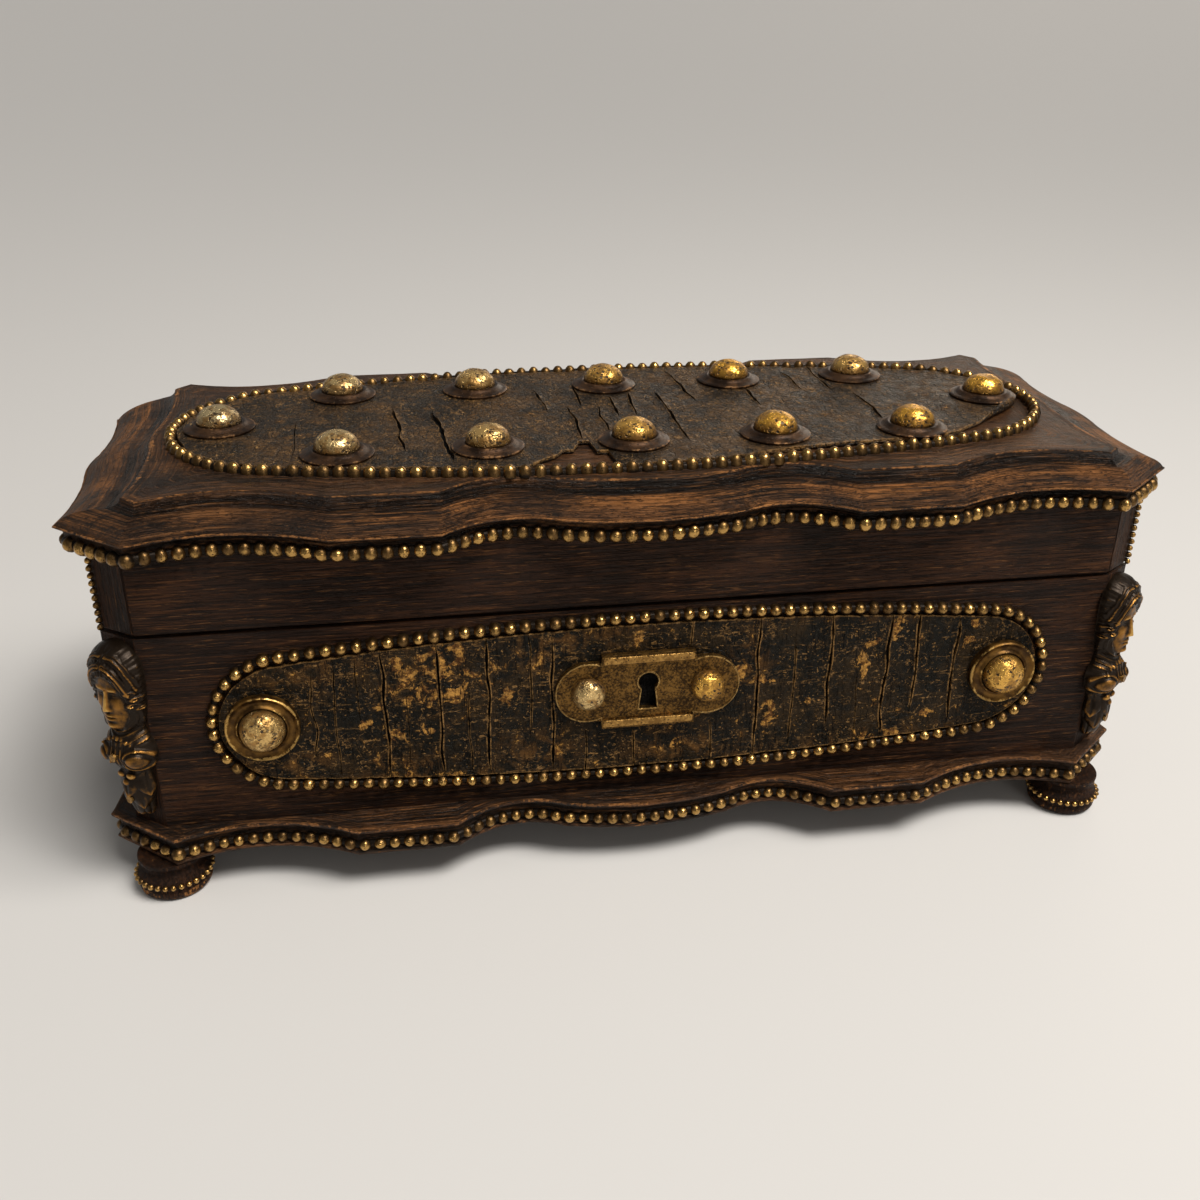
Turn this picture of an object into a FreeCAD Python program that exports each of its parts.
import FreeCAD, Part
import math
import os

from FreeCAD import Vector

os.makedirs("parts", exist_ok=True)

# Jewelry casket of dark oak with leather ovals, bead trims, dome nails and cast corner figures.
# Millimetres. The origin is on the floor under the middle, +X to the right, -Y to the front, +Z up.

# Serpentine plan shared by the base board and the lid board, measured over the bead trims
BOARD_LENGTH = 305.0
BOARD_DEPTH = 126.0
CANT_RUN = 19.5
CANT_RISE = 16.5
CORNER_DEPTH = 3.0
COVE_DEPTH = 7.8
TAB_INNER = 55.0
TAB_OUTER = 83.0
STEP_DEPTH = 7.7
BOW_TURN = 24.0
TURN_DEPTH = 4.8
BOW_DEPTH = 1.4
END_BOW = 9.0
END_WAVE = 1.7

# Heights
FOOT_HEIGHT = 11.5
BODY_HEIGHT = 59.0
SEAM_GAP = 0.5
RIM_HEIGHT = 23.0
LID_SLOPE_HEIGHT = 8.3

# Case walls and their canted corners
END_OVERHANG = 7.6
FRONT_OVERHANG = 10.5
BODY_CANT_RUN = 9.6
BODY_CANT_RISE = 7.0
WALL = 9.0

# Moulded edges of the two boards
BEAD_DIAMETER = 3.2
TRIM_SEAT = 2.4
EDGE_EASE = 0.3
FILLET_INSET = 0.5
FILLET_HEIGHT = 1.2
LIP_INSET = 1.0
LIP_ROUND = 1.2
BASE_LIP_HEIGHT = 2.3
BASE_BEAD_ROOM = 1.7
LID_LIP_HEIGHT = 0.6
LID_BEAD_ROOM = 0.1

# Slope of the lid board, from its edge to the flat top
OVOLO_HEIGHT = 5.2
OVOLO_FRONT_INSET = 5.6
OVOLO_END_INSET = 12.0
HOLLOW_HEIGHT = 0.5
HOLLOW_FRONT_INSET = 2.0
HOLLOW_END_INSET = 4.0
STEP_FRONT_INSET = 1.4
STEP_END_INSET = 4.0
PLATEAU_CANT_RUN = 3.0
PLATEAU_CANT_RISE = 3.5

# Feet
FOOT_END_INSET = 16.6
FOOT_FRONT_INSET = 13.1
FOOT_RADIUS = 10.4
FOOT_SOLE_RADIUS = 8.8
FOOT_NECK_RADIUS = 7.9
FOOT_TOP_RADIUS = 9.4
FOOT_COLLAR_HEIGHT = 1.4
FOOT_RING_HEIGHT = 2.2
FOOT_RING_LIFT = 2.4
FOOT_RING_PROUD = 1.1
DOWEL_RADIUS = 2.0
DOWEL_LENGTH = 6.0

# Ovals of leather inside bead borders
LEATHER_THICKNESS = 1.4
BORDER_HEIGHT = 2.9
LID_OVAL_END_MARGIN = 4.5
LID_OVAL_SIDE_MARGIN = 7.5
LID_OVAL_END_EASE = 10.5
FRONT_OVAL_END_MARGIN = 16.3
FRONT_OVAL_SIDE_MARGIN = 4.5
FRONT_OVAL_END_EASE = 5.0
FRONT_OVAL_LIFT = 1.8

# Dome nails and their washers
STUDS_PER_ROW = 5
STUD_ROW_GAP = 0.3
END_STUD_GAP = 1.7
END_STUD_STEP = 33.7
WASHER_RADIUS = 10.0
WASHER_TOP_RADIUS = 7.2
WASHER_HEIGHT = 2.0
DOME_RADIUS = 6.2
DOME_HEIGHT = 4.8
NAIL_RADIUS = 1.2
NAIL_LENGTH = 10.0
ROSETTE_GAP = 1.7
ROSETTE_RADIUS = 10.0
ROSETTE_DISH_RADIUS = 8.6
ROSETTE_DISH_DEPTH = 1.2
ROSETTE_HEIGHT = 3.0
ROSETTE_DOME_HEIGHT = 5.6

# Keyhole escutcheon
PLATE_LENGTH = 52.6
PLATE_LOBE_RADIUS = 9.3
PLATE_THICKNESS = 1.5
PLATE_DROP = 2.4
TAB_WIDTH = 26.4
TAB_HEIGHT = 23.0
TAB_BAR = 2.6
TAB_BAR_PROUD = 0.8
PLATE_DOME_RADIUS = 4.8
PLATE_DOME_HEIGHT = 4.4
PLATE_NAIL_STOP = 0.6
KEYHOLE_RADIUS = 2.8
KEYHOLE_HEIGHT = 11.3
KEYHOLE_WAIST = 3.6
KEYHOLE_SKIRT = 5.1

# Cast corner figures
MOUNT_TOP_MARGIN = 1.0
MOUNT_BOTTOM_MARGIN = 3.0
MOUNT_HEAD_HEIGHT = 25.0
MOUNT_BUST_HEIGHT = 14.0
MOUNT_HEAD_RADIUS = 7.8
MOUNT_BUST_RADIUS = 8.0
MOUNT_DROP_RADIUS = 5.2
MOUNT_NECK_RADIUS = 3.8
MOUNT_TIP_RADIUS = 1.6
MOUNT_CROWN_RADIUS = 3.0
MOUNT_PIN_RADIUS = 0.6
MOUNT_PIN_HEAD_RADIUS = 1.1
MOUNT_PIN_HEAD = 0.7
MOUNT_PIN_BITE = 5.0

# Beading on the canted corners of the rim
CORNER_BEAD_WIDTH = 2.0
CORNER_BEAD_PROUD = 1.2

# Box lock in the front wall
KEYHOLE_DROP = 22.0
KEY_ROOM = 12.0
LOCK_WIDTH = 42.0
LOCK_DEPTH = 6.5
LOCK_FLANGE = 4.4
LOCK_PLATE = 0.9
LOCK_WALL = 1.0
LOCK_SELVEDGE = 1.4
LOCK_SCREW_LENGTH = 5.6
KEY_PIN_RADIUS = 1.1
STAPLE_THICKNESS = 2.0
STAPLE_DEPTH = 3.4
STAPLE_DROP = 9.0
STAPLE_EYE = 3.6
STAPLE_EYE_DEPTH = 1.8
STAPLE_FOOT = 1.4
STRIKE_THICKNESS = 1.0
STRIKE_DEPTH = 5.6
BOLT_TRAVEL = 4.0
BOLT_END_ROOM = 1.3
BOLT_FINGER_LEAD = 0.5
BOLT_FINGER_DEPTH = 1.2
BOLT_UPRIGHT = 2.4
BOLT_BAR_HEIGHT = 4.0
BOLT_BAR_GAP = 1.5

# Butt hinges in the back wall
HINGE_INSET = 50.0
HINGE_LENGTH = 32.0
HINGE_KNUCKLES = 5
LEAF_WIDTH = 7.0
LEAF_THICKNESS = 1.1
KNUCKLE_RADIUS = 2.4
HINGE_PIN_RADIUS = 1.0
HINGE_PIN_FIT = 0.05
HINGE_PIN_END = 0.8

# Screws
SCREW_RADIUS = 0.8
SCREW_HEAD_RADIUS = 1.6
SCREW_HEAD_HEIGHT = 0.8
SCREW_LENGTH = 7.0
SCREWS_PER_LEAF = 3
LEAF_SCREW_MARGIN = 5.0
BASE_SCREW_RADIUS = 1.6
BASE_SCREW_HEAD_RADIUS = 3.2
BASE_SCREW_HEAD_HEIGHT = 1.6
BASE_SCREW_BITE = 12.0
BASE_SCREWS_PER_SIDE = 3
BASE_SCREW_MARGIN = 45.0

# Lining
LINING = 1.6
FLOOR_PAD = 4.0
LID_PAD = 3.0
LINING_TOP_MARGIN = 2.0

# Clearances: a close fit inside one body, and a running fit between pieces that move
FIT = 0.1
RUN_FIT = 0.3

# Levels and half sizes that follow
BASE_THICKNESS = BASE_LIP_HEIGHT + BEAD_DIAMETER + BASE_BEAD_ROOM + 2 * EDGE_EASE + FILLET_HEIGHT
LID_EDGE_HEIGHT = LID_LIP_HEIGHT + BEAD_DIAMETER + LID_BEAD_ROOM + 2 * EDGE_EASE + FILLET_HEIGHT
BASE_TOP = FOOT_HEIGHT + BASE_THICKNESS
BODY_TOP = BASE_TOP + BODY_HEIGHT
RIM_BOTTOM = BODY_TOP + SEAM_GAP
RIM_TOP = RIM_BOTTOM + RIM_HEIGHT
EDGE_TOP = RIM_TOP + LID_EDGE_HEIGHT
LID_TOP = EDGE_TOP + LID_SLOPE_HEIGHT
HALF_LENGTH = BOARD_LENGTH / 2 - END_OVERHANG
HALF_DEPTH = BOARD_DEPTH / 2 - FRONT_OVERHANG
FACE_HALF = HALF_LENGTH - BODY_CANT_RUN
END_HALF = HALF_DEPTH - BODY_CANT_RISE
WELL_HALF_LENGTH = HALF_LENGTH - WALL
WELL_HALF_DEPTH = HALF_DEPTH - WALL
BEAD_RADIUS = BEAD_DIAMETER / 2
PLATEAU_FRONT_INSET = OVOLO_FRONT_INSET + HOLLOW_FRONT_INSET + STEP_FRONT_INSET
PLATEAU_END_INSET = OVOLO_END_INSET + HOLLOW_END_INSET + STEP_END_INSET

RIGHT = Vector(1, 0, 0)
UP = Vector(0, 0, 1)
DOWN = Vector(0, 0, -1)
FRONTWARD = Vector(0, -1, 0)
BACKWARD = Vector(0, 1, 0)
SIDES = (-1, 1)


def save(name, shape):
    shape.exportStep("parts/" + name + ".step")


def box(x_low, x_high, y_low, y_high, z_low, z_high):
    corner = Vector(x_low, y_low, z_low)
    return Part.makeBox(x_high - x_low, y_high - y_low, z_high - z_low, corner)


def slab(half_x, half_y, z_low, z_high):
    return box(-half_x, half_x, -half_y, half_y, z_low, z_high)


def prism(points, z_low, z_high):
    corners = [Vector(x, y, z_low) for x, y in points]
    face = Part.Face(Part.makePolygon(corners + corners[:1]))
    return face.extrude(Vector(0, 0, z_high - z_low))


def peg(place, axis, radius, length):
    return Part.makeCylinder(radius, length, place, axis)


def group(shapes):
    return Part.makeCompound(shapes)


def mirror_x(shape):
    return shape.mirror(Vector(0, 0, 0), Vector(1, 0, 0))


def mirror_y(shape):
    return shape.mirror(Vector(0, 0, 0), Vector(0, 1, 0))


def four_corners(front_right):
    front_left = mirror_x(front_right)
    return {
        "front_left": front_left,
        "front_right": front_right,
        "back_left": mirror_y(front_left),
        "back_right": mirror_y(front_right),
    }


def run_edges(runs, point_at):
    """Edges of an outline: two points make a line, three points make an arc."""
    edges = []
    for run in runs:
        points = [point_at(point) for point in run]
        curve = Part.LineSegment(*points) if len(points) == 2 else Part.Arc(*points)
        edges.append(curve.toShape())
    return edges


def polyline(points):
    return [list(pair) for pair in zip(points, points[1:])]


def flipped(runs, x_sign, y_sign):
    return [[(x * x_sign, y * y_sign) for x, y in run] for run in runs]


def backwards(runs):
    return [run[::-1] for run in runs[::-1]]


def turned(profile, place, axis):
    """A solid of revolution from runs of (radius, height) points, stood on place along axis."""
    edges = run_edges(profile, lambda point: Vector(point[0], 0, point[1]))
    solid = Part.Face(Part.Wire(edges)).revolve(Vector(0, 0, 0), UP, 360)
    solid.Placement = FreeCAD.Placement(place, FreeCAD.Rotation(UP, axis))
    return solid


# Serpentine boards
def serpentine(z, front_inset, end_inset, cant_run, cant_rise):
    """The closed plan outline at height z: bow, step, tab and cove on each long side, a canted corner."""
    tab_line = BOARD_DEPTH / 2 - front_inset
    half = BOARD_LENGTH / 2 - end_inset
    bow = (0, tab_line - BOW_DEPTH)
    turn = (BOW_TURN, tab_line - TURN_DEPTH)
    step = ((BOW_TURN + TAB_INNER) / 2, tab_line - STEP_DEPTH)
    tab_start = (TAB_INNER, tab_line)
    tab_end = (TAB_OUTER, tab_line)
    corner = (half - cant_run, tab_line - CORNER_DEPTH)
    cove = ((TAB_OUTER + corner[0]) / 2, tab_line - COVE_DEPTH)
    far = (half, corner[1] - cant_rise)
    end_turn = (half - END_WAVE / 2, END_BOW)
    end_cove = (half - END_WAVE, (far[1] + END_BOW) / 2)
    quarter = [
        [end_turn, end_cove, far],
        [far, corner],
        [corner, cove, tab_end],
        [tab_end, tab_start],
        [tab_start, step, turn],
    ]
    bow_run = [turn, bow, (-turn[0], turn[1])]
    back_half = quarter + [bow_run] + backwards(flipped(quarter, -1, 1))
    left_end = [(-end_turn[0], END_BOW), (-half, 0), (-end_turn[0], -END_BOW)]
    right_end = flipped([left_end], -1, -1)
    loop = back_half + [left_end] + flipped(back_half, -1, -1) + right_end
    return Part.Wire(run_edges(loop, lambda point: Vector(point[0], point[1], z)))


def edge_outline(z, inset):
    """The outline drawn in by the same amount on all sides, so the cant stays parallel to itself."""
    spare = CANT_RUN + CANT_RISE - math.hypot(CANT_RUN, CANT_RISE)
    run = CANT_RUN - inset * spare / CANT_RISE
    rise = CANT_RISE - inset * spare / CANT_RUN
    return serpentine(z, inset, inset, run, rise)


def slope_outline(z, front_inset, end_inset):
    """The outline on the lid's slope, where the cant narrows evenly from the edge to the flat top."""
    share = end_inset / PLATEAU_END_INSET
    run = CANT_RUN + (PLATEAU_CANT_RUN - CANT_RUN) * share
    rise = CANT_RISE + (PLATEAU_CANT_RISE - CANT_RISE) * share
    return serpentine(z, front_inset, end_inset, run, rise)


def edge_wires(z_low, z_high, lip_height):
    """Rounded lip, seat of the bead trim and fillet, from the bottom of a board's edge to its top."""
    levels = [
        (z_low, LIP_INSET + LIP_ROUND),
        (z_low + lip_height / 2, LIP_INSET),
        (z_low + lip_height, LIP_INSET),
        (z_low + lip_height + EDGE_EASE, TRIM_SEAT),
        (z_high - FILLET_HEIGHT - EDGE_EASE, TRIM_SEAT),
        (z_high - FILLET_HEIGHT, FILLET_INSET),
        (z_high, FILLET_INSET),
    ]
    return [edge_outline(z, inset) for z, inset in levels]


def bead_strip(z_low, z_high, lip_height):
    """A band midway between a board's lip and fillet, as thick as the beads that it stands for."""
    z = (z_low + lip_height + z_high - FILLET_HEIGHT - BEAD_DIAMETER) / 2
    ring = Part.Face([edge_outline(z, 0), edge_outline(z, TRIM_SEAT - FIT)])
    return ring.extrude(UP * BEAD_DIAMETER)


# Ovals
def side_radius(half_length, half_width, end_ease):
    """Radius of an oval's long sides, whose end arcs are end_ease less than the half width."""
    end_radius = half_width - end_ease
    return ((half_length - end_radius) ** 2 + half_width ** 2 - end_radius ** 2) / (2 * end_ease)


def oval_wire(half_length, half_width, end_ease, point_at):
    """Four-centre oval: two end arcs and two flatter side arcs that meet with a common tangent."""
    radius = side_radius(half_length, half_width, end_ease)
    end_centre = half_length - half_width + end_ease
    side_centre = radius - half_width
    reach = radius / math.hypot(end_centre, side_centre)
    join = (end_centre * reach, side_centre * reach - side_centre)
    end_arc = [(join[0], -join[1]), (half_length, 0), join]
    side_arc = [join, (0, half_width), (-join[0], join[1])]
    runs = [end_arc, side_arc] + flipped([end_arc, side_arc], -1, -1)
    return Part.Wire(run_edges(runs, point_at))


LID_OVAL_HALF_LENGTH = BOARD_LENGTH / 2 - PLATEAU_END_INSET - LID_OVAL_END_MARGIN
LID_OVAL_HALF_WIDTH = BOARD_DEPTH / 2 - PLATEAU_FRONT_INSET - LID_OVAL_SIDE_MARGIN
FRONT_OVAL_Z = BASE_TOP + BODY_HEIGHT / 2 + FRONT_OVAL_LIFT
FRONT_OVAL_HALF_LENGTH = FACE_HALF - FRONT_OVAL_END_MARGIN
FRONT_OVAL_HALF_WIDTH = BODY_HEIGHT / 2 - FRONT_OVAL_SIDE_MARGIN


def lid_oval(offset):
    """The lid's oval, drawn offset outside the middle line of its bead border."""
    length = LID_OVAL_HALF_LENGTH + offset
    width = LID_OVAL_HALF_WIDTH + offset
    return oval_wire(length, width, LID_OVAL_END_EASE, lambda point: Vector(point[0], point[1], LID_TOP))


def front_oval(offset):
    """The front's oval, drawn offset outside the middle line of its bead border."""
    length = FRONT_OVAL_HALF_LENGTH + offset
    width = FRONT_OVAL_HALF_WIDTH + offset
    return oval_wire(length, width, FRONT_OVAL_END_EASE,
                     lambda point: Vector(point[0], -HALF_DEPTH, FRONT_OVAL_Z + point[1]))


def oval_sheet(oval, outward):
    return Part.Face(oval(-BEAD_RADIUS - FIT)).extrude(outward * LEATHER_THICKNESS)


def oval_border(oval, outward):
    return Part.Face([oval(BEAD_RADIUS), oval(-BEAD_RADIUS)]).extrude(outward * BORDER_HEIGHT)


# Nails, washers and screws
def dome_nail(place, axis, radius, height, length):
    """A domed head that stands on place, over a straight skirt where it is tall, and its shank."""
    crown = min(height, radius)
    skirt = height - crown
    sphere = (radius ** 2 + crown ** 2) / (2 * crown)
    half_way = math.sqrt(sphere ** 2 - (radius / 2) ** 2) - (sphere - crown)
    corners = [(0, height), (0, -length), (NAIL_RADIUS, -length), (NAIL_RADIUS, 0), (radius, 0)]
    if skirt > 0:
        corners.append((radius, skirt))
    cap = [(radius, skirt), (radius / 2, skirt + half_way), (0, height)]
    return turned(polyline(corners) + [cap], place, axis)


def nail_hole(place, axis, length):
    """Clearance round a nail's shank, from its head to past its point."""
    return peg(place - axis * (length + FIT), axis, NAIL_RADIUS + FIT, length + 2 * FIT)


def cone_washer(place, axis):
    inner = NAIL_RADIUS + FIT
    corners = [
        (inner, 0), (WASHER_RADIUS, 0), (WASHER_TOP_RADIUS, WASHER_HEIGHT),
        (inner, WASHER_HEIGHT), (inner, 0),
    ]
    return turned(polyline(corners), place, axis)


def cup_washer(place, axis):
    inner = NAIL_RADIUS + FIT
    floor = ROSETTE_HEIGHT - ROSETTE_DISH_DEPTH
    corners = [
        (inner, 0), (ROSETTE_RADIUS, 0), (ROSETTE_RADIUS, floor), (ROSETTE_DISH_RADIUS, ROSETTE_HEIGHT),
        (DOME_RADIUS + RUN_FIT, floor), (inner, floor), (inner, 0),
    ]
    return turned(polyline(corners), place, axis)


def screw(place, axis, radius, head_radius, head_height, length):
    """A countersunk screw whose head lies flush at place and whose shank runs along axis."""
    corners = [(0, 0), (head_radius, 0), (radius, head_height), (radius, length), (0, length), (0, 0)]
    return turned(polyline(corners), place, axis)


def screw_hole(place, axis, radius, head_radius, head_height, length):
    """Clearance round a screw, open at its head."""
    mouth = place - axis * FIT
    return screw(mouth, axis, radius + FIT, head_radius + FIT, head_height + FIT, length + 2 * FIT)


SMALL_SCREW = (SCREW_RADIUS, SCREW_HEAD_RADIUS, SCREW_HEAD_HEIGHT, SCREW_LENGTH)
LOCK_SCREW = (SCREW_RADIUS, SCREW_HEAD_RADIUS, SCREW_HEAD_HEIGHT, LOCK_SCREW_LENGTH)
BASE_SCREW_LENGTH = BASE_THICKNESS + BASE_SCREW_BITE
BASE_SCREW = (BASE_SCREW_RADIUS, BASE_SCREW_HEAD_RADIUS, BASE_SCREW_HEAD_HEIGHT, BASE_SCREW_LENGTH)


def spaced(count, half_span):
    """Places of count things spread evenly from one end of a span to the other."""
    return [half_span * (2 * index / (count - 1) - 1) for index in range(count)]


# Places of the lid's studs: two rows and one at each end, clear of the bead border
END_STUD_X = LID_OVAL_HALF_LENGTH - BEAD_RADIUS - WASHER_RADIUS - END_STUD_GAP
STUD_ROW_HALF = END_STUD_X - END_STUD_STEP
LID_SIDE_RADIUS = side_radius(LID_OVAL_HALF_LENGTH, LID_OVAL_HALF_WIDTH, LID_OVAL_END_EASE)
STUD_REACH = LID_SIDE_RADIUS - BEAD_RADIUS - WASHER_RADIUS - STUD_ROW_GAP
STUD_ROW_Y = math.sqrt(STUD_REACH ** 2 - STUD_ROW_HALF ** 2) - LID_SIDE_RADIUS + LID_OVAL_HALF_WIDTH
STUD_SPOTS = [(side * END_STUD_X, 0) for side in SIDES]
STUD_SPOTS += [(x, side * STUD_ROW_Y) for x in spaced(STUDS_PER_ROW, STUD_ROW_HALF) for side in SIDES]
LID_WASHERS = [Vector(x, y, LID_TOP + LEATHER_THICKNESS) for x, y in STUD_SPOTS]
LID_NAILS = [spot + UP * WASHER_HEIGHT for spot in LID_WASHERS]
LID_NAIL_HOLES = [nail_hole(spot, UP, NAIL_LENGTH) for spot in LID_NAILS]

# Places of the lock and of the front's nails
LOCK_BACK = -WELL_HALF_DEPTH
LOCK_FRONT = LOCK_BACK - LOCK_DEPTH
KEYHOLE_Z = BODY_TOP - KEYHOLE_DROP
PLATE_Z = KEYHOLE_Z - PLATE_DROP
LEATHER_FRONT = -HALF_DEPTH - LEATHER_THICKNESS
PLATE_FRONT = LEATHER_FRONT - PLATE_THICKNESS
PLATE_NAIL_LENGTH = LOCK_FRONT - PLATE_FRONT - PLATE_NAIL_STOP
LOBE_X = PLATE_LENGTH / 2 - PLATE_LOBE_RADIUS
PLATE_NAILS = [Vector(side * LOBE_X, PLATE_FRONT, PLATE_Z) for side in SIDES]
ROSETTE_X = FRONT_OVAL_HALF_LENGTH - BEAD_RADIUS - ROSETTE_RADIUS - ROSETTE_GAP
ROSETTES = [Vector(side * ROSETTE_X, LEATHER_FRONT, FRONT_OVAL_Z) for side in SIDES]
ROSETTE_NAILS = [spot + FRONTWARD * (ROSETTE_HEIGHT - ROSETTE_DISH_DEPTH) for spot in ROSETTES]
FRONT_NAIL_HOLES = [nail_hole(spot, FRONTWARD, NAIL_LENGTH) for spot in ROSETTE_NAILS]
FRONT_NAIL_HOLES += [nail_hole(spot, FRONTWARD, PLATE_NAIL_LENGTH) for spot in PLATE_NAILS]

# Places of the screws under the base board
BASE_SCREW_Y = HALF_DEPTH - WALL / 2
BASE_SCREW_COLUMNS = spaced(BASE_SCREWS_PER_SIDE, FACE_HALF - BASE_SCREW_MARGIN)
BASE_SCREW_SPOTS = [Vector(x, side * BASE_SCREW_Y, FOOT_HEIGHT) for x in BASE_SCREW_COLUMNS for side in SIDES]
BASE_SCREW_HOLES = [screw_hole(spot, UP, *BASE_SCREW) for spot in BASE_SCREW_SPOTS]


def keyhole(y_front, y_back, slack):
    """A round eye over a skirt that widens downwards, cut from y_front to y_back."""
    depth = y_back - y_front
    eye = peg(Vector(0, y_front, KEYHOLE_Z), BACKWARD, KEYHOLE_RADIUS + slack, depth)
    bottom = KEYHOLE_Z + KEYHOLE_RADIUS - KEYHOLE_HEIGHT - slack
    waist = KEYHOLE_WAIST / 2 + slack
    skirt = KEYHOLE_SKIRT / 2 + slack
    points = [(-skirt, bottom), (skirt, bottom), (waist, KEYHOLE_Z), (-waist, KEYHOLE_Z), (-skirt, bottom)]
    wire = Part.makePolygon([Vector(x, y_front, z) for x, z in points])
    return eye.fuse(Part.Face(wire).extrude(BACKWARD * depth))


# Base board, trim and feet
FOOT_X = BOARD_LENGTH / 2 - FOOT_END_INSET
FOOT_Y = BOARD_DEPTH / 2 - FOOT_FRONT_INSET
FOOT_SPOTS = {
    "front_left": Vector(-FOOT_X, -FOOT_Y, 0),
    "front_right": Vector(FOOT_X, -FOOT_Y, 0),
    "back_left": Vector(-FOOT_X, FOOT_Y, 0),
    "back_right": Vector(FOOT_X, FOOT_Y, 0),
}


def make_base():
    board = Part.makeLoft(edge_wires(FOOT_HEIGHT, BASE_TOP, BASE_LIP_HEIGHT), True, True)
    socket_top = FOOT_HEIGHT + DOWEL_LENGTH + FIT
    sockets = [peg(spot, UP, DOWEL_RADIUS + FIT, socket_top) for spot in FOOT_SPOTS.values()]
    save("base_board", board.cut(sockets + BASE_SCREW_HOLES))
    save("base_bead_trim", bead_strip(FOOT_HEIGHT, BASE_TOP, BASE_LIP_HEIGHT))
    save("base_screws", group([screw(spot, UP, *BASE_SCREW) for spot in BASE_SCREW_SPOTS]))


def bun_foot(spot):
    """A turned foot: a sole, a seat for its bead ring, a hollow neck, a collar and a dowel."""
    ring_top = FOOT_RING_LIFT + FOOT_RING_HEIGHT
    collar = FOOT_HEIGHT - FOOT_COLLAR_HEIGHT
    top = FOOT_HEIGHT + DOWEL_LENGTH
    bun = [(0, 0), (FOOT_SOLE_RADIUS, 0), (FOOT_RADIUS, FOOT_RING_LIFT), (FOOT_RADIUS, ring_top)]
    neck = [(FOOT_RADIUS, ring_top), (FOOT_NECK_RADIUS, (ring_top + collar) / 2), (FOOT_TOP_RADIUS, collar)]
    dowel = [
        (FOOT_TOP_RADIUS, collar), (FOOT_TOP_RADIUS, FOOT_HEIGHT), (DOWEL_RADIUS, FOOT_HEIGHT),
        (DOWEL_RADIUS, top), (0, top), (0, 0),
    ]
    return turned(polyline(bun) + [neck] + polyline(dowel), spot, UP)


def foot_ring(spot):
    place = spot + UP * FOOT_RING_LIFT
    ring = peg(place, UP, FOOT_RADIUS + FOOT_RING_PROUD, FOOT_RING_HEIGHT)
    return ring.cut(peg(place, UP, FOOT_RADIUS + FIT, FOOT_RING_HEIGHT))


def make_feet():
    for corner, spot in FOOT_SPOTS.items():
        save("foot_" + corner, bun_foot(spot))
    save("foot_bead_rings", group([foot_ring(spot) for spot in FOOT_SPOTS.values()]))


# Butt hinges
HINGE_X = FACE_HALF - HINGE_INSET
HINGE_Y = HALF_DEPTH + KNUCKLE_RADIUS + RUN_FIT
HINGE_Z = BODY_TOP + SEAM_GAP / 2
LEAF_FRONT = HALF_DEPTH - LEAF_WIDTH
LEAF_SCREW_Y = HALF_DEPTH - LEAF_WIDTH / 2
KNUCKLE_LENGTH = HINGE_LENGTH / HINGE_KNUCKLES
HINGES = {"left": -HINGE_X, "right": HINGE_X}


def leaf_screw_spots(x_middle, z):
    columns = spaced(SCREWS_PER_LEAF, HINGE_LENGTH / 2 - LEAF_SCREW_MARGIN)
    return [Vector(x_middle + x, LEAF_SCREW_Y, z) for x in columns]


def leaf_screw_holes(x_middle, z, axis):
    return [screw_hole(spot, axis, *SMALL_SCREW) for spot in leaf_screw_spots(x_middle, z)]


def hinge_pin(x_middle, fit):
    start = Vector(x_middle - HINGE_LENGTH / 2 - HINGE_PIN_END, HINGE_Y, HINGE_Z)
    return peg(start, RIGHT, HINGE_PIN_RADIUS + fit, HINGE_LENGTH + 2 * HINGE_PIN_END)


def hinge_leaf(x_middle, z_low, first_knuckle, screw_holes):
    """A plate with every second knuckle of the barrel, bored for the pin and the screws."""
    x_start = x_middle - HINGE_LENGTH / 2
    z_high = z_low + LEAF_THICKNESS
    leaf = box(x_start, x_start + HINGE_LENGTH, LEAF_FRONT, HALF_DEPTH, z_low, z_high)
    for index in range(first_knuckle, HINGE_KNUCKLES, 2):
        x_low = x_start + index * KNUCKLE_LENGTH + RUN_FIT / 2
        x_high = x_low + KNUCKLE_LENGTH - RUN_FIT
        tab = box(x_low, x_high, HALF_DEPTH, HINGE_Y, z_low, z_high)
        barrel = peg(Vector(x_low, HINGE_Y, HINGE_Z), RIGHT, KNUCKLE_RADIUS, x_high - x_low)
        leaf = leaf.fuse([tab, barrel])
    return leaf.cut([hinge_pin(x_middle, HINGE_PIN_FIT)] + screw_holes).removeSplitter()


def leaf_recess(x_middle, z_low, z_high):
    half = HINGE_LENGTH / 2 + FIT
    return box(x_middle - half, x_middle + half, LEAF_FRONT - FIT, HALF_DEPTH + FIT, z_low, z_high)


def make_hinges():
    case_screws = []
    lid_screws = []
    for side, x in HINGES.items():
        case_holes = leaf_screw_holes(x, BODY_TOP, DOWN)
        lid_holes = leaf_screw_holes(x, RIM_BOTTOM, UP)
        save("hinge_" + side + "_case_leaf", hinge_leaf(x, BODY_TOP - LEAF_THICKNESS, 0, case_holes))
        save("hinge_" + side + "_lid_leaf", hinge_leaf(x, RIM_BOTTOM, 1, lid_holes))
        case_screws += [screw(spot, DOWN, *SMALL_SCREW) for spot in leaf_screw_spots(x, BODY_TOP)]
        lid_screws += [screw(spot, UP, *SMALL_SCREW) for spot in leaf_screw_spots(x, RIM_BOTTOM)]
    save("hinge_case_screws", group(case_screws))
    save("hinge_lid_screws", group(lid_screws))
    save("hinge_pins", group([hinge_pin(x, 0) for x in HINGES.values()]))


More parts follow.
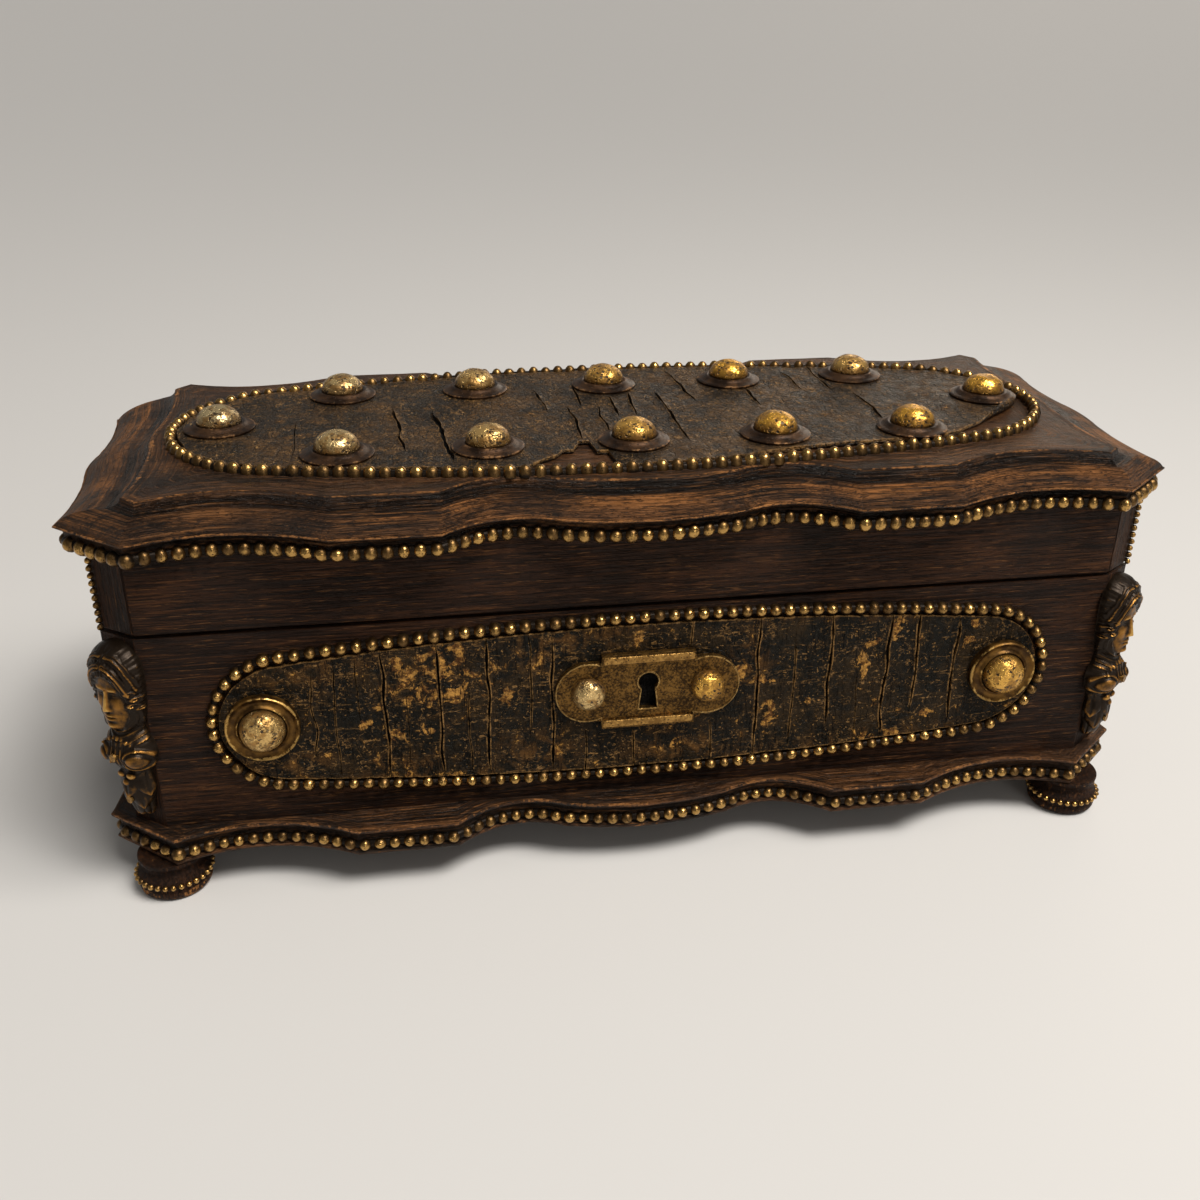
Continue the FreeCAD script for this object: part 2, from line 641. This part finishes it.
# Box lock: a case let into the front wall, a sliding bolt, and a strike on the lid's rim
LOCK_BOTTOM = KEYHOLE_Z - KEY_ROOM
LOCK_HALF = LOCK_WIDTH / 2
FLANGE_HALF = LOCK_HALF + LOCK_FLANGE
ROOM_FRONT = LOCK_FRONT + LOCK_PLATE
ROOM_BACK = LOCK_BACK - LOCK_PLATE
ROOM_MIDDLE = (ROOM_FRONT + ROOM_BACK) / 2
ROOM_HALF = LOCK_HALF - LOCK_WALL
ROOM_TOP = BODY_TOP - LOCK_SELVEDGE
LOCK_SCREW_X = LOCK_HALF + LOCK_FLANGE / 2
LOCK_SCREW_LEVELS = (LOCK_BOTTOM + LOCK_FLANGE, BODY_TOP - LOCK_FLANGE)
LOCK_SCREW_SPOTS = [Vector(side * LOCK_SCREW_X, LOCK_BACK, z) for z in LOCK_SCREW_LEVELS for side in SIDES]
LOCK_SCREW_HOLES = [screw_hole(spot, FRONTWARD, *LOCK_SCREW) for spot in LOCK_SCREW_SPOTS]
FINGER_ROOT = STAPLE_THICKNESS / 2 + BOLT_TRAVEL + RUN_FIT
FINGER_TIP = STAPLE_THICKNESS / 2 + BOLT_FINGER_LEAD
STAPLE_X = ROOM_HALF - FINGER_ROOT - BOLT_UPRIGHT - BOLT_END_ROOM
STAPLE_BOTTOM = RIM_BOTTOM - STAPLE_DROP
EYE_BOTTOM = STAPLE_BOTTOM + STAPLE_FOOT
EYE_TOP = EYE_BOTTOM + STAPLE_EYE
STRIKE_FRONT = ROOM_MIDDLE - STRIKE_DEPTH / 2
STRIKE_BACK = ROOM_MIDDLE + STRIKE_DEPTH / 2
STRIKE_SCREW_X = (STAPLE_X + LOCK_HALF) / 2
STRIKE_SCREW_SPOTS = [Vector(side * STRIKE_SCREW_X, ROOM_MIDDLE, RIM_BOTTOM) for side in SIDES]
STRIKE_SCREW_HOLES = [screw_hole(spot, UP, *SMALL_SCREW) for spot in STRIKE_SCREW_SPOTS]


def lock_recess():
    low = LOCK_BOTTOM - FIT
    high = BODY_TOP + FIT
    deep = box(-LOCK_HALF - FIT, LOCK_HALF + FIT, LOCK_FRONT, LOCK_BACK + FIT, low, high)
    shallow = box(-FLANGE_HALF - FIT, FLANGE_HALF + FIT, ROOM_BACK, LOCK_BACK + FIT, low, high)
    return deep.fuse(shallow)


def lock_case():
    """A shell with a wide back plate, open to the cap, with a slot in its top for each staple."""
    shell = box(-LOCK_HALF, LOCK_HALF, ROOM_FRONT, LOCK_BACK, LOCK_BOTTOM, BODY_TOP)
    plate = box(-FLANGE_HALF, FLANGE_HALF, ROOM_BACK, LOCK_BACK, LOCK_BOTTOM, BODY_TOP)
    room = box(-ROOM_HALF, ROOM_HALF, ROOM_FRONT - FIT, ROOM_BACK, LOCK_BOTTOM + LOCK_WALL, ROOM_TOP)
    half_slot = STAPLE_THICKNESS / 2 + 2 * RUN_FIT
    slots = [box(side * STAPLE_X - half_slot, side * STAPLE_X + half_slot, ROOM_FRONT - FIT, ROOM_BACK,
                 ROOM_TOP - FIT, BODY_TOP + FIT) for side in SIDES]
    return shell.fuse(plate).cut([room] + slots + LOCK_SCREW_HOLES).removeSplitter()


def lock_bolt():
    """A bar that slides along X, with two hooked fingers that enter the eyes of the staples."""
    bar_top = STAPLE_BOTTOM - BOLT_BAR_GAP
    bar_bottom = bar_top - BOLT_BAR_HEIGHT
    finger_low = EYE_BOTTOM + RUN_FIT
    finger_high = EYE_TOP - RUN_FIT
    front = ROOM_MIDDLE - BOLT_FINGER_DEPTH / 2
    back = ROOM_MIDDLE + BOLT_FINGER_DEPTH / 2
    hooks = []
    for side in SIDES:
        root = side * STAPLE_X - FINGER_ROOT
        tip = side * STAPLE_X - FINGER_TIP
        hooks.append(box(root - BOLT_UPRIGHT, tip, front, back, finger_low, finger_high))
        hooks.append(box(root - BOLT_UPRIGHT, root, front, back, bar_bottom, finger_high))
    bar_start = -STAPLE_X - FINGER_ROOT - BOLT_UPRIGHT
    bar_end = STAPLE_X - FINGER_TIP
    bar = box(bar_start, bar_end, ROOM_FRONT + RUN_FIT, ROOM_BACK - RUN_FIT, bar_bottom, bar_top)
    return bar.fuse(hooks).removeSplitter()


def lock_strike():
    """A plate let into the rim, with two hanging staples whose eyes lie along X."""
    plate_top = RIM_BOTTOM + STRIKE_THICKNESS
    plate = box(-LOCK_HALF, LOCK_HALF, STRIKE_FRONT, STRIKE_BACK, RIM_BOTTOM, plate_top)
    half = STAPLE_THICKNESS / 2
    front = ROOM_MIDDLE - STAPLE_DEPTH / 2
    back = ROOM_MIDDLE + STAPLE_DEPTH / 2
    eye = STAPLE_EYE_DEPTH / 2
    staples = []
    eyes = []
    for side in SIDES:
        x_low = side * STAPLE_X - half
        x_high = side * STAPLE_X + half
        staples.append(box(x_low, x_high, front, back, STAPLE_BOTTOM, RIM_BOTTOM))
        eyes.append(box(x_low - FIT, x_high + FIT, ROOM_MIDDLE - eye, ROOM_MIDDLE + eye, EYE_BOTTOM, EYE_TOP))
    return plate.fuse(staples).cut(eyes + STRIKE_SCREW_HOLES).removeSplitter()


def strike_recess():
    half = LOCK_HALF + FIT
    top = RIM_BOTTOM + STRIKE_THICKNESS
    return box(-half, half, STRIKE_FRONT - FIT, STRIKE_BACK + FIT, RIM_BOTTOM - FIT, top)


def make_lock():
    save("lock_case", lock_case())
    cap = box(-LOCK_HALF, LOCK_HALF, LOCK_FRONT, ROOM_FRONT, LOCK_BOTTOM, BODY_TOP)
    save("lock_cap", cap.cut(keyhole(LOCK_FRONT - FIT, ROOM_FRONT + FIT, FIT)))
    key_pin_start = Vector(0, ROOM_BACK, KEYHOLE_Z)
    save("lock_key_pin", peg(key_pin_start, FRONTWARD, KEY_PIN_RADIUS, ROOM_BACK - ROOM_FRONT))
    save("lock_screws", group([screw(spot, FRONTWARD, *LOCK_SCREW) for spot in LOCK_SCREW_SPOTS]))
    save("lock_bolt", lock_bolt())
    save("lock_strike", lock_strike())
    save("lock_strike_screws", group([screw(spot, UP, *SMALL_SCREW) for spot in STRIKE_SCREW_SPOTS]))


# Walls and corner posts of the case, and the same plan again for the rim of the lid
CORNER_POINTS = [
    (FACE_HALF, -HALF_DEPTH),
    (HALF_LENGTH, -END_HALF),
    (HALF_LENGTH, -WELL_HALF_DEPTH),
    (FACE_HALF, -WELL_HALF_DEPTH),
]


def front_wall(z_low, z_high):
    return box(-FACE_HALF, FACE_HALF, -HALF_DEPTH, -WELL_HALF_DEPTH, z_low, z_high)


def right_wall(z_low, z_high):
    return box(WELL_HALF_LENGTH, HALF_LENGTH, -WELL_HALF_DEPTH, WELL_HALF_DEPTH, z_low, z_high)


def make_walls():
    way_in = keyhole(-HALF_DEPTH - FIT, LOCK_FRONT + FIT, RUN_FIT)
    front_cuts = FRONT_NAIL_HOLES + BASE_SCREW_HOLES + LOCK_SCREW_HOLES + [lock_recess(), way_in]
    save("front_panel", front_wall(BASE_TOP, BODY_TOP).cut(front_cuts))
    back_cuts = list(BASE_SCREW_HOLES)
    for x in HINGES.values():
        back_cuts.append(leaf_recess(x, BODY_TOP - LEAF_THICKNESS, BODY_TOP + FIT))
        back_cuts += leaf_screw_holes(x, BODY_TOP, DOWN)
    save("back_panel", mirror_y(front_wall(BASE_TOP, BODY_TOP)).cut(back_cuts))
    save("right_end_panel", right_wall(BASE_TOP, BODY_TOP))
    save("left_end_panel", mirror_x(right_wall(BASE_TOP, BODY_TOP)))
    post = prism(CORNER_POINTS, BASE_TOP, BODY_TOP).cut(MOUNT_PIN_HOLES)
    for corner, shape in four_corners(post).items():
        save("corner_post_" + corner, shape)


def make_rim():
    save("rim_front", front_wall(RIM_BOTTOM, RIM_TOP).cut([strike_recess()] + STRIKE_SCREW_HOLES))
    back_cuts = []
    for x in HINGES.values():
        back_cuts.append(leaf_recess(x, RIM_BOTTOM - FIT, RIM_BOTTOM + LEAF_THICKNESS))
        back_cuts += leaf_screw_holes(x, RIM_BOTTOM, UP)
    save("rim_back", mirror_y(front_wall(RIM_BOTTOM, RIM_TOP)).cut(back_cuts))
    save("rim_right", right_wall(RIM_BOTTOM, RIM_TOP))
    save("rim_left", mirror_x(right_wall(RIM_BOTTOM, RIM_TOP)))
    blocks = four_corners(prism(CORNER_POINTS, RIM_BOTTOM, RIM_TOP))
    save("rim_corner_blocks", group(list(blocks.values())))
    save("rim_corner_beading", group(list(four_corners(corner_beading()).values())))


# Cast figures on the canted corners
CANT_LENGTH = math.hypot(BODY_CANT_RUN, BODY_CANT_RISE)
CANT_ALONG = Vector(BODY_CANT_RUN / CANT_LENGTH, BODY_CANT_RISE / CANT_LENGTH, 0)
CANT_OUT = Vector(CANT_ALONG.y, -CANT_ALONG.x, 0)
CANT_MIDDLE = Vector((FACE_HALF + HALF_LENGTH) / 2, -(HALF_DEPTH + END_HALF) / 2, 0)
MOUNT_BOTTOM = BASE_TOP + MOUNT_BOTTOM_MARGIN
MOUNT_TOP = BODY_TOP - MOUNT_TOP_MARGIN
NECK_Z = MOUNT_TOP - MOUNT_HEAD_HEIGHT
WAIST_Z = NECK_Z - MOUNT_BUST_HEIGHT
DROP_MIDDLE_Z = (MOUNT_BOTTOM + WAIST_Z) / 2
BUST_MIDDLE_Z = (WAIST_Z + NECK_Z) / 2
HEAD_MIDDLE_Z = (NECK_Z + MOUNT_TOP) / 2
MOUNT_PIN_SPOTS = [(DROP_MIDDLE_Z, MOUNT_DROP_RADIUS), (BUST_MIDDLE_Z, MOUNT_BUST_RADIUS)]


def mount_pin_hole(z, reach):
    start = CANT_MIDDLE + UP * z - CANT_OUT * (MOUNT_PIN_BITE + FIT)
    return peg(start, CANT_OUT, MOUNT_PIN_RADIUS + FIT, MOUNT_PIN_BITE + reach + 2 * FIT)


def mount_pin(z, reach):
    """A round pin through a casting into the post, with its head on the casting's swell."""
    start = CANT_MIDDLE + UP * z - CANT_OUT * MOUNT_PIN_BITE
    seat = CANT_MIDDLE + UP * z + CANT_OUT * (reach + FIT)
    shank = peg(start, CANT_OUT, MOUNT_PIN_RADIUS, MOUNT_PIN_BITE + reach + FIT)
    return shank.fuse(peg(seat, CANT_OUT, MOUNT_PIN_HEAD_RADIUS, MOUNT_PIN_HEAD)).removeSplitter()


MOUNT_PIN_HOLES = [mount_pin_hole(*spot) for spot in MOUNT_PIN_SPOTS]


def corner_figure():
    """Half-round casting: a head over a bust over a tapering drop, flat against the canted post."""
    tip = (MOUNT_TIP_RADIUS, MOUNT_BOTTOM)
    waist = (MOUNT_NECK_RADIUS, WAIST_Z)
    neck = (MOUNT_NECK_RADIUS, NECK_Z)
    crown = (MOUNT_CROWN_RADIUS, MOUNT_TOP)
    runs = [
        [(0, MOUNT_BOTTOM), tip],
        [tip, (MOUNT_DROP_RADIUS, DROP_MIDDLE_Z), waist],
        [waist, (MOUNT_BUST_RADIUS, BUST_MIDDLE_Z), neck],
        [neck, (MOUNT_HEAD_RADIUS, HEAD_MIDDLE_Z), crown],
        [crown, (0, MOUNT_TOP)],
        [(0, MOUNT_TOP), (0, MOUNT_BOTTOM)],
    ]
    edges = run_edges(runs, lambda point: CANT_MIDDLE - CANT_ALONG * point[0] + UP * point[1])
    return Part.Face(Part.Wire(edges)).revolve(CANT_MIDDLE, UP, 180).cut(MOUNT_PIN_HOLES)


def corner_beading():
    """A thin strip on the rim's canted face, along its outer edge."""
    outer = Vector(HALF_LENGTH, -END_HALF, 0)
    inner = outer - CANT_ALONG * CORNER_BEAD_WIDTH
    proud = CANT_OUT * CORNER_BEAD_PROUD
    corners = [inner, outer, outer + proud, inner + proud]
    return prism([(corner.x, corner.y) for corner in corners], RIM_BOTTOM, RIM_TOP)


def make_mounts():
    for corner, shape in four_corners(corner_figure()).items():
        save("corner_mount_" + corner, shape)
    pins = []
    for spot in MOUNT_PIN_SPOTS:
        pins += list(four_corners(mount_pin(*spot)).values())
    save("corner_mount_pins", group(pins))


# Front oval, rosettes and escutcheon
def escutcheon():
    """A plate with round end lobes, square tabs above and below, and a raised bar on each tab."""
    half_tab = TAB_WIDTH / 2
    low = PLATE_Z - TAB_HEIGHT / 2
    high = PLATE_Z + TAB_HEIGHT / 2
    plate = box(-half_tab, half_tab, PLATE_FRONT, LEATHER_FRONT, low, high)
    lobe_spots = [Vector(side * LOBE_X, LEATHER_FRONT, PLATE_Z) for side in SIDES]
    lobes = [peg(spot, FRONTWARD, PLATE_LOBE_RADIUS, PLATE_THICKNESS) for spot in lobe_spots]
    waist_low = PLATE_Z - PLATE_LOBE_RADIUS
    waist = box(-LOBE_X, LOBE_X, PLATE_FRONT, LEATHER_FRONT, waist_low, PLATE_Z + PLATE_LOBE_RADIUS)
    bar_front = PLATE_FRONT - TAB_BAR_PROUD
    bars = [box(-half_tab, half_tab, bar_front, PLATE_FRONT, z, z + TAB_BAR) for z in (low, high - TAB_BAR)]
    return plate.fuse(lobes + [waist] + bars).removeSplitter()


def make_front():
    way_in = keyhole(PLATE_FRONT - FIT, -HALF_DEPTH + FIT, 0)
    save("front_leather_panel", oval_sheet(front_oval, FRONTWARD).cut(FRONT_NAIL_HOLES + [way_in]))
    save("front_bead_border", oval_border(front_oval, FRONTWARD))
    save("front_rosette_washers", group([cup_washer(spot, FRONTWARD) for spot in ROSETTES]))
    rosette_dome = (FRONTWARD, DOME_RADIUS, ROSETTE_DOME_HEIGHT, NAIL_LENGTH)
    save("front_rosette_nails", group([dome_nail(spot, *rosette_dome) for spot in ROSETTE_NAILS]))
    save("keyhole_escutcheon", escutcheon().cut(FRONT_NAIL_HOLES + [way_in]))
    plate_dome = (FRONTWARD, PLATE_DOME_RADIUS, PLATE_DOME_HEIGHT, PLATE_NAIL_LENGTH)
    save("escutcheon_nails", group([dome_nail(spot, *plate_dome) for spot in PLATE_NAILS]))


# Lid board, oval and studs
def make_lid():
    ovolo_top = EDGE_TOP + OVOLO_HEIGHT
    hollow_front = OVOLO_FRONT_INSET + HOLLOW_FRONT_INSET
    hollow_end = OVOLO_END_INSET + HOLLOW_END_INSET
    wires = edge_wires(RIM_TOP, EDGE_TOP, LID_LIP_HEIGHT)
    wires.append(slope_outline(ovolo_top, OVOLO_FRONT_INSET, OVOLO_END_INSET))
    wires.append(slope_outline(ovolo_top + HOLLOW_HEIGHT, hollow_front, hollow_end))
    wires.append(slope_outline(LID_TOP, PLATEAU_FRONT_INSET, PLATEAU_END_INSET))
    save("lid_top_board", Part.makeLoft(wires, True, True).cut(LID_NAIL_HOLES))
    save("lid_bead_trim", bead_strip(RIM_TOP, EDGE_TOP, LID_LIP_HEIGHT))
    save("lid_leather_panel", oval_sheet(lid_oval, UP).cut(LID_NAIL_HOLES))
    save("lid_bead_border", oval_border(lid_oval, UP))
    save("lid_stud_washers", group([cone_washer(spot, UP) for spot in LID_WASHERS]))
    stud_dome = (UP, DOME_RADIUS, DOME_HEIGHT, NAIL_LENGTH)
    save("lid_stud_nails", group([dome_nail(spot, *stud_dome) for spot in LID_NAILS]))


# Lining of the well and the lid
def make_lining():
    half_x = WELL_HALF_LENGTH - FIT
    half_y = WELL_HALF_DEPTH - FIT
    pad_top = BASE_TOP + FLOOR_PAD
    top = BODY_TOP - LINING_TOP_MARGIN
    long_half = half_x - LINING - FIT
    front = box(-long_half, long_half, -half_y, -half_y + LINING, pad_top, top)
    right = box(half_x - LINING, half_x, -half_y, half_y, pad_top, top)
    notch_half = FLANGE_HALF + FIT
    notch_back = -half_y + LINING + FIT
    lock_notch = box(-notch_half, notch_half, -half_y - FIT, notch_back, LOCK_BOTTOM - FIT, top + FIT)
    save("lining_floor", slab(half_x, half_y, BASE_TOP, pad_top))
    save("lining_front", front.cut(lock_notch))
    save("lining_back", mirror_y(front))
    save("lining_right", right)
    save("lining_left", mirror_x(right))
    save("lid_lining", slab(half_x, half_y, RIM_TOP - LID_PAD, RIM_TOP))


make_base()
make_feet()
make_walls()
make_mounts()
make_front()
make_lock()
make_hinges()
make_rim()
make_lid()
make_lining()
